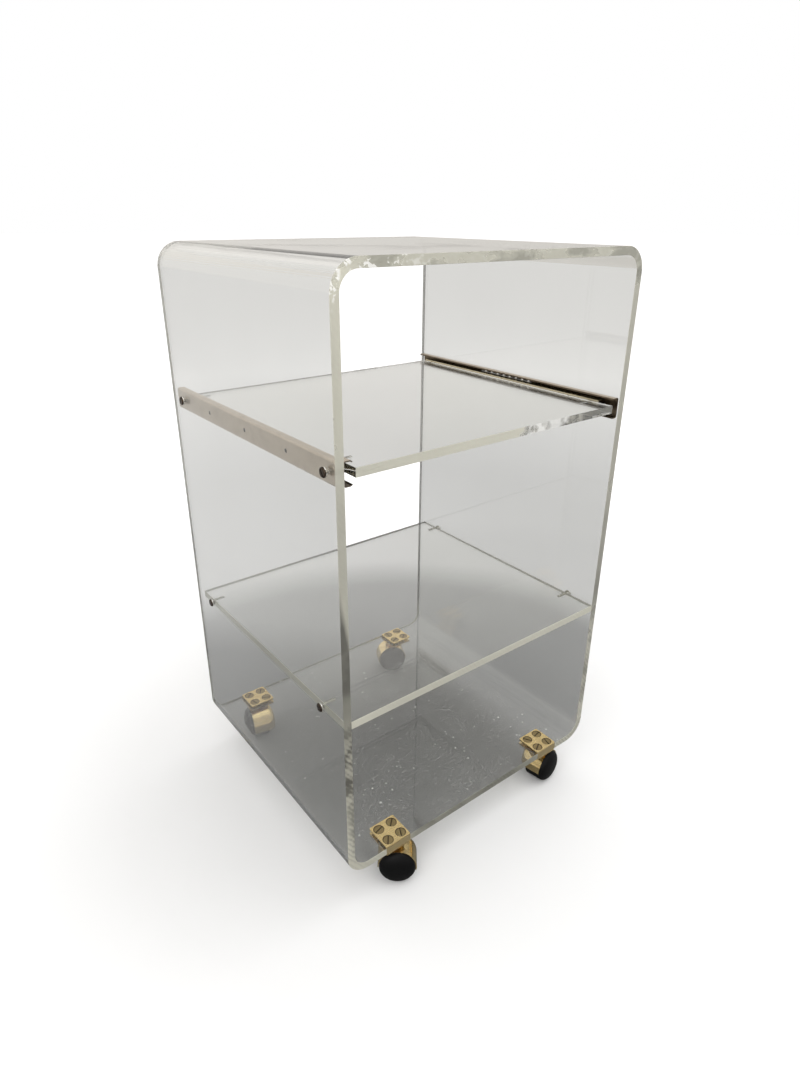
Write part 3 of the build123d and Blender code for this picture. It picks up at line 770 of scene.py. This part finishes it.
class BuildSlides(bpy.types.Operator):
    """Finishes the ball slides: channels, runners, cages and balls."""
    bl_idname = "trolley.slides"
    bl_label = "Ball slides"

    def execute(self, context):
        nickel = look("warm_nickel", worn_metal, (0.60, 0.525, 0.435), (0.37, 0.31, 0.25), 0.34, LENGTHWISE, 0.3)
        yellow = look("yellow_steel", worn_metal, (0.50, 0.44, 0.31), (0.25, 0.20, 0.13), 0.26, LENGTHWISE, 0.35)
        channel_shade = look("dark_bronze", worn_metal, (0.128, 0.099, 0.069), (0.033, 0.026, 0.018), 0.3, LENGTHWISE, 0.4)
        cage = look("cage_steel", worn_metal, (0.36, 0.35, 0.34), (0.14, 0.13, 0.12), 0.35, (1.0, 0.1, 1.0))
        for side in SIDES:
            piece = node_copy(f"{side}_slide_channel", f"{side}_channel", 0.00015)
            fill_slots(piece, nickel, channel_shade)
            low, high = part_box(f"{side}_slide_channel")
            middle = (low.z + high.z) / 2
            # painted shade: the channel's inside and its end faces take the dark bronze colour, for the shade deep in
            # the channel
            edge_faces(piece, lambda face: abs(face.normal.y) > 0.9 or face.normal.x * SIDES[side] < -0.5
                       or (face.calc_center_median().z - middle) * face.normal.z < -0.0001)
            settle(piece, [f"{side}_slide_channel"], "case", "slide_nickel")
            piece = node_copy(f"{side}_slide_runner", f"{side}_runner", 0.00015)
            settle(piece, [f"{side}_slide_runner"], "shelf", "slide_brass", yellow)
            piece = node_copy(f"{side}_ball_retainer", f"{side}_cage_strip", 0.0001)
            settle(piece, [f"{side}_ball_retainer"], f"{side}_cage", "cage_steel", cage)
            self.balls(side)
        return {"FINISHED"}

    def balls(self, side):
        """Two rows of polished balls in one cage."""
        steel = look("ball_steel", worn_metal, (0.78, 0.78, 0.77), (0.5, 0.5, 0.5), 0.1, wear=0.1)
        low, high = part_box(f"{side}_slide_balls")
        radius = (high.x - low.x) / 2
        let_go()
        bpy.ops.mesh.primitive_uv_sphere_add(segments=20, ring_count=12, radius=radius)
        ball = name_active("ball")
        count = 8
        pitch = (high.y - low.y - 2 * radius) / (count - 1)
        places = [Matrix.Translation(((low.x + high.x) / 2, low.y + radius + number * pitch, height))
                  for height in (low.z + radius, high.z - radius) for number in range(count)]
        group = set_copies(ball, places, f"{side}_balls")
        smooth(group, 60)
        settle(group, [f"{side}_slide_balls"], f"{side}_cage", "ball_steel", steel)


class BuildPlates(bpy.types.Operator):
    """Finishes the caster plates and their slotted screws."""
    bl_idname = "trolley.plates"
    bl_label = "Caster plates"

    def execute(self, context):
        plate = brass("plate_brass", 0.26, (0.05, 1.0, 1.0), 0.3)
        grime = look("slot_grime", slot_grime)
        places = plate_screw_places()
        reach = context.scene.trolley_fasteners.plate_head_radius + 0.0006

        def in_countersink(face):
            middle = face.calc_center_median()
            return 0.05 < abs(face.normal.z) < 0.97 and any(
                math.hypot(middle.x - x, middle.y - y) < reach for x, y, top in places)

        for corner in CORNERS:
            for kind in ("top", "base"):
                piece = node_copy(f"{corner}_{kind}_plate", f"{corner}_{kind}_brass", 0.0006)
                fill_slots(piece, plate, grime)
                if kind == "top":
                    # painted shade: the countersinks take the dark slot colour
                    edge_faces(piece, in_countersink)
                settle(piece, [f"{corner}_{kind}_plate"], "case", "plate_brass")
        self.screws(context, grime, places)
        return {"FINISHED"}

    def screws(self, context, grime, tops):
        """Sixteen slotted heads, a little below their plates."""
        sizes = context.scene.trolley_fasteners
        colours = context.scene.trolley_casters
        aged = look("aged_brass", worn_metal, Vector(colours.brass_colour) * 0.42, colours.tarnish_colour, 0.3,
                    wear=0.7)
        radius, rim, slot = sizes.plate_head_radius, 0.0012, 0.0016
        shank_radius, length = 0.0026, 0.0145
        head = rod("head", radius, (0, 0, -rim), (0, 0, 0), 48)
        pick(head, "edges", lambda edge: all(vert.co.z > -rim / 2 for vert in edge.verts))
        bpy.ops.mesh.bevel(offset=0.0004, segments=3, affect="EDGES")
        edit_done()
        pick(head, "verts", lambda vert: vert.co.z < -rim * 0.9)
        bpy.ops.transform.resize(value=(0.41, 0.41, 1.0))
        edit_done()
        slot_cut(head, radius * 1.2, slot, 0.0009, 0.0)
        fill_slots(head, aged, grime)
        # painted shade: the slot's faces take the dark slot colour
        edge_faces(head, lambda face: abs(face.calc_center_median().y) < slot * 0.51
                   and -0.001 < face.calc_center_median().z < -0.0001)
        shank = rod("shank", shank_radius, (0, 0, sizes.plate_head_sink - length), (0, 0, -rim * 0.98), 24)
        screw = join("screw", [head, shank])
        spins = (0.9, 0.25, 1.1, 0.75, 0.5, 2.1, 1.3, 0.2, 1.8, 0.7, 2.6, 1.0, 0.35, 1.5, 0.8, 2.3)
        places = [along((0, 0, 1), (x, y, top - sizes.plate_head_sink), spin)
                  for (x, y, top), spin in zip(tops, spins)]
        group = set_copies(screw, places, "plate_screws")
        smooth(group)
        settle(group, ["caster_plate_screws"], "case", "brass_screw")


class BuildCasters(bpy.types.Operator):
    """Makes the hoods, pins, axles and domed wheels of the four casters."""
    bl_idname = "trolley.casters"
    bl_label = "Casters"

    def execute(self, context):
        hood = brass("hood_brass", 0.15, (1.0, 1.0, 0.2), 0.42)
        steel = look("pin_steel", worn_metal, (0.55, 0.54, 0.52), (0.25, 0.24, 0.22), 0.3)
        polished = brass("polished_brass", 0.1, EVEN, 0.1)
        rim = 0.0161  # axle distance past which a hood is its polished rim
        for corner in CORNERS:
            joint = JOINTS[f"{corner}_roll"]
            centre, axle = Vector(joint["pos_m"]), Vector(joint["axis"])
            piece = node_copy(f"{corner}_hood", f"{corner}_hood_brass", 0.0003)
            fill_slots(piece, hood, polished)
            edge_faces(piece, lambda face: (face.calc_center_median() - centre).dot(axle) > rim)
            settle(piece, [f"{corner}_hood"], f"{corner}_caster", "hood_brass")
            piece = node_copy(f"{corner}_axle", f"{corner}_axle_pin", 0.0003)
            settle(piece, [f"{corner}_axle"], f"{corner}_caster", "pin_steel", steel)
            piece = node_copy(f"{corner}_swivel_pin", f"{corner}_rivet", 0.0002)
            settle(piece, [f"{corner}_swivel_pin"], "case", "pin_steel", steel)
            self.wheel(context, corner, centre, axle)
        return {"FINISHED"}

    def wheel(self, context, corner, centre, axle):
        """A domed wheel: its outline drawn by extruding one point, then spun about the axle."""
        sizes = context.scene.trolley_casters
        radius, back, start, top = sizes.wheel_radius, sizes.wheel_back, sizes.dome_start, sizes.dome_top
        bore, bore_end = 0.00305, 0.0196
        outline = [(0.0, bore_end), (bore, bore_end), (bore, back), (radius - 0.0012, back),
                   (radius - 0.0004, back + 0.0004), (radius, back + 0.0012), (radius, start - 0.0012),
                   (radius - 0.0003, start - 0.0008), (radius - 0.0003, start - 0.0004), (radius, start)]
        steps = 24
        for step in range(1, steps + 1):
            angle = math.radians(90 * step / steps)
            outline.append((radius * math.cos(angle) ** 0.82, start + (top - start) * math.sin(angle)))
        outline[-1] = (0.0, top)
        let_go()
        bpy.ops.mesh.primitive_plane_add(size=0.001)
        piece = name_active(f"{corner}_domed_wheel")
        bpy.ops.object.mode_set(mode="EDIT")
        bpy.ops.mesh.select_mode(type="VERT")
        bpy.ops.mesh.select_all(action="SELECT")
        bpy.ops.mesh.merge(type="CENTER")
        here = Vector((outline[0][0], 0, outline[0][1]))
        bpy.ops.transform.translate(value=here)
        for across, out in outline[1:]:
            there = Vector((across, 0, out))
            bpy.ops.mesh.extrude_region_move(TRANSFORM_OT_translate={"value": there - here})
            here = there
        bpy.ops.mesh.select_all(action="SELECT")
        bpy.ops.mesh.spin(steps=72, angle=2 * math.pi, center=(0, 0, 0), axis=(0, 0, 1))
        bpy.ops.mesh.select_all(action="SELECT")
        bpy.ops.mesh.remove_doubles(threshold=0.000002)
        bpy.ops.mesh.normals_make_consistent(inside=False)
        edit_done()
        piece.matrix_world = along(axle, centre)
        bake_place(piece)
        smooth(piece, 40)
        settle(piece, [f"{corner}_wheel"], f"{corner}_wheel", "wheel_black", look("scuffed_black", scuffed_black))


class BuildStage(bpy.types.Operator):
    """Sets the pale floor, the soft studio light and the camera."""
    bl_idname = "trolley.stage"
    bl_label = "Stage"

    def execute(self, context):
        stage = context.scene.trolley_stage
        let_go()
        bpy.ops.mesh.primitive_plane_add(size=60.0, location=(0, 0, 0))
        floor = name_active("floor")
        floor.data.materials.append(self.floor_paint(stage))
        self.world(context.scene)
        for name, place, aim, size, power in (
            ("key", (0.9, -0.4, 2.6), (0.0, 0.0, 0.2), 4.0, stage.key_power * 1.1),
            ("window", (-2.2, -1.2, 1.5), (0.0, 0.0, 0.4), 3.8, stage.key_power * 0.95),
        ):
            let_go()
            bpy.ops.object.light_add(type="AREA", location=place)
            lamp = bpy.context.object
            lamp.name = name
            lamp.rotation_euler = (Vector(aim) - Vector(place)).to_track_quat("-Z", "Y").to_euler()
            lamp.data.shape = "DISK"
            lamp.data.size = size
            lamp.data.energy = power
            lamp.visible_transmission = name == "key"
            self.feather(lamp.data)
        self.camera(context.scene, stage)
        context.scene.view_settings.view_transform = "Standard"
        context.scene.cycles.max_bounces = 32
        context.scene.cycles.glossy_bounces = 24
        context.scene.cycles.transmission_bounces = 24
        return {"FINISHED"}

    def feather(self, lamp):
        """Lets the lamp fade toward its rim, so that no hard disc shows in the panes."""
        lamp.use_nodes = True
        web = Web(lamp.node_tree)
        spot = web.node("NewGeometry").outputs["Parametric"]
        off_middle = web.node("VectorMath", {0: spot, 1: (0.5, 0.5, 0.0)}, operation="DISTANCE").outputs["Value"]
        fade = web.span(off_middle, 1.9, 0.0, 0.2, 0.5, interpolation_type="SMOOTHSTEP")
        web.feed(fade, lamp.node_tree.nodes["Emission"].inputs["Strength"])

    def floor_paint(self, stage):
        """A pale floor to look at, which the panes and the metal show as a grey one that lightens with distance and
        darkens to both sides."""
        finish = Finish("pale_floor")
        pale, shade = Vector(stage.floor_colour), Vector(stage.floor_shade)
        seen = finish.node("LightPath").outputs["Is Camera Ray"]
        reach = finish.node("VectorMath", {0: finish.place}, operation="LENGTH").outputs["Value"]
        patch = finish.span(finish.noise(0.6), -0.01, 0.01)
        ramp_length = 4.0
        shown = finish.ramp(finish.math("ADD", finish.math("DIVIDE", reach, ramp_length), patch),
                            (0.0, shade * 0.8), (0.135, shade), (0.165, pale * 0.66), (0.34, pale * 0.72),
                            (0.75, pale * 1.1))
        across = finish.math("ABSOLUTE", finish.axes()[0])
        shown = finish.mix(finish.span(across, 0.0, 0.18, 0.1, 1.0), shown, (0.0, 0.0, 0.0))
        glow = finish.product(seen, finish.span(reach, 0.0, 0.4, 0.4, 1.6))
        return finish.give(Base_Color=finish.mix(seen, shown, pale), Emission_Color=(*WHITE, 1.0),
                           Emission_Strength=glow, Roughness=0.8, Specular_IOR_Level=0.1)

    def world(self, scene):
        """White to look at, and a soft grey room, darker to the right, in the panes and the metal."""
        scene.world = bpy.data.worlds.new("studio")
        scene.world.use_nodes = True
        web = Web(scene.world.node_tree)
        parts = web.node("SeparateXYZ", {"Vector": web.node("TexCoord").outputs["Generated"]})
        rise = web.ramp(parts.outputs["Z"], (0.0, (0.83, 0.80, 0.75)), (0.8, (0.97, 0.95, 0.92)))
        turn = web.span(parts.outputs["X"], 1.04, 0.70, -0.2, 1.0)
        room = web.mix(1.0, rise, turn, blend_type="MULTIPLY")
        seen = web.mix(web.node("LightPath").outputs["Is Camera Ray"], room, WHITE)
        web.feed(seen, scene.world.node_tree.nodes["Background"].inputs["Color"])

    def camera(self, scene, stage):
        """Stands the camera where the photograph was taken."""
        let_go()
        bpy.ops.object.camera_add(location=stage.camera_place)
        camera = bpy.context.object
        camera.name = "photo_camera"
        heading, tilt, roll = stage.camera_turn
        turn = (Matrix.Rotation(heading, 3, "Z") @ Matrix.Rotation(math.pi / 2 - tilt, 3, "X")
                @ Matrix.Rotation(roll, 3, "Z"))
        camera.rotation_euler = turn.to_euler()
        camera.data.lens = stage.camera_lens
        camera.data.sensor_width = 36.0
        camera.data.shift_x = 0.0005
        camera.data.shift_y = -0.0084
        camera.data.clip_start = 0.01
        scene.camera = camera


BUILDERS = (BuildCase, BuildShelves, BuildScrews, BuildSlides, BuildPlates, BuildCasters, BuildStage)
SETTINGS = {
    "trolley_acrylic": TrolleyAcrylic,
    "trolley_fasteners": TrolleyFasteners,
    "trolley_casters": TrolleyCasters,
    "trolley_stage": TrolleyStage,
}


class TrolleyPanel(bpy.types.Panel):
    """Lists the trolley's builders and what they read."""
    bl_idname = "VIEW3D_PT_trolley"
    bl_label = "Serving trolley"
    bl_space_type = "VIEW_3D"
    bl_region_type = "UI"
    bl_category = "Trolley"

    def draw(self, context):
        for builder in BUILDERS:
            self.layout.operator(builder.bl_idname)
        for name, group in SETTINGS.items():
            box = self.layout.box()
            box.label(text=name.replace("_", " "))
            for key in group.__annotations__:
                box.prop(getattr(context.scene, name), key)


def register():
    for kind in (*SETTINGS.values(), *BUILDERS, TrolleyPanel):
        bpy.utils.register_class(kind)
    for name, group in SETTINGS.items():
        setattr(bpy.types.Scene, name, bpy.props.PointerProperty(type=group))


def unregister():
    for name in SETTINGS:
        delattr(bpy.types.Scene, name)
    for kind in (TrolleyPanel, *reversed(BUILDERS), *SETTINGS.values()):
        bpy.utils.unregister_class(kind)


def main():
    register()
    bpy.ops.trolley.case()
    bpy.ops.trolley.shelves()
    bpy.ops.trolley.screws()
    bpy.ops.trolley.slides()
    bpy.ops.trolley.plates()
    bpy.ops.trolley.casters()
    bpy.ops.trolley.stage()


if __name__ == "__main__":
    main()
